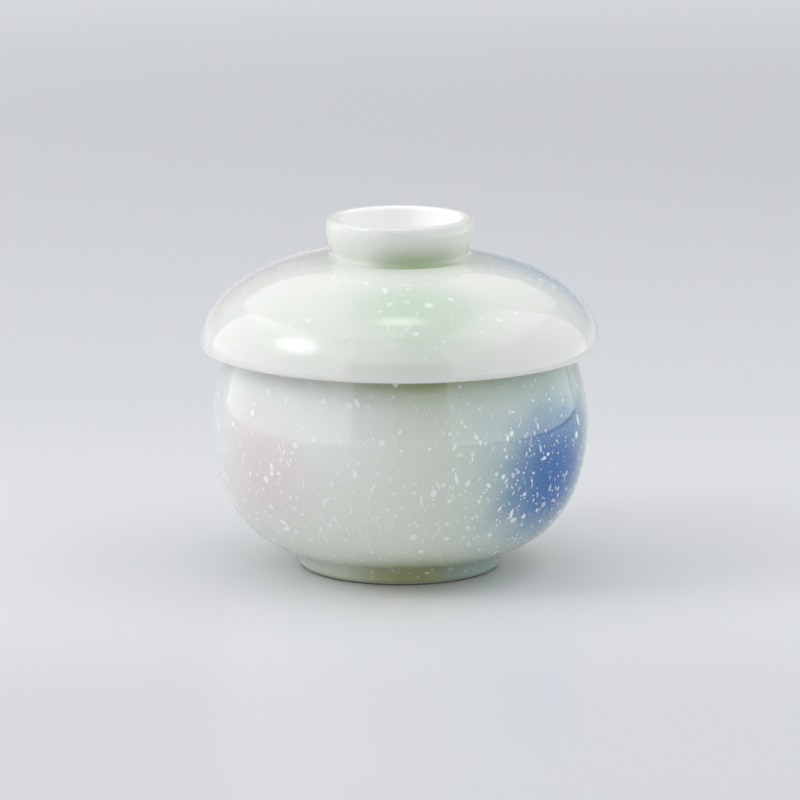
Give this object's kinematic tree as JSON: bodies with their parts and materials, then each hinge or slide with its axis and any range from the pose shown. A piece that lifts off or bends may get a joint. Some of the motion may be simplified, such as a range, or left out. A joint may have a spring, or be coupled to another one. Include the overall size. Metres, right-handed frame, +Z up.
{
  "type": "lidded rice bowl",
  "caption": "Round glazed porcelain rice bowl on a low foot ring, with an overlapping domed lid that lifts off by a ring knob.",
  "frame": {"origin": "centre of the circle that the foot ring stands on", "axes": "+Z up along the axis that both pieces are turned about; +X to the right and +Y to the back as the bowl is seen from the front"},
  "size_m": [0.106, 0.106, 0.0936],
  "materials": {
    "bowl_glaze": "gloss",
    "lid_glaze": "gloss"
  },
  "bodies": {
    "bowl": {"bowl": "bowl_glaze"},
    "lid": {"lid": "lid_glaze"}
  },
  "joints": [
    {"name": "lid_lift", "type": "slide", "parent": "bowl", "child": "lid", "axis": [0, 0, 1], "range_m": [0, 0.07]}
  ]
}
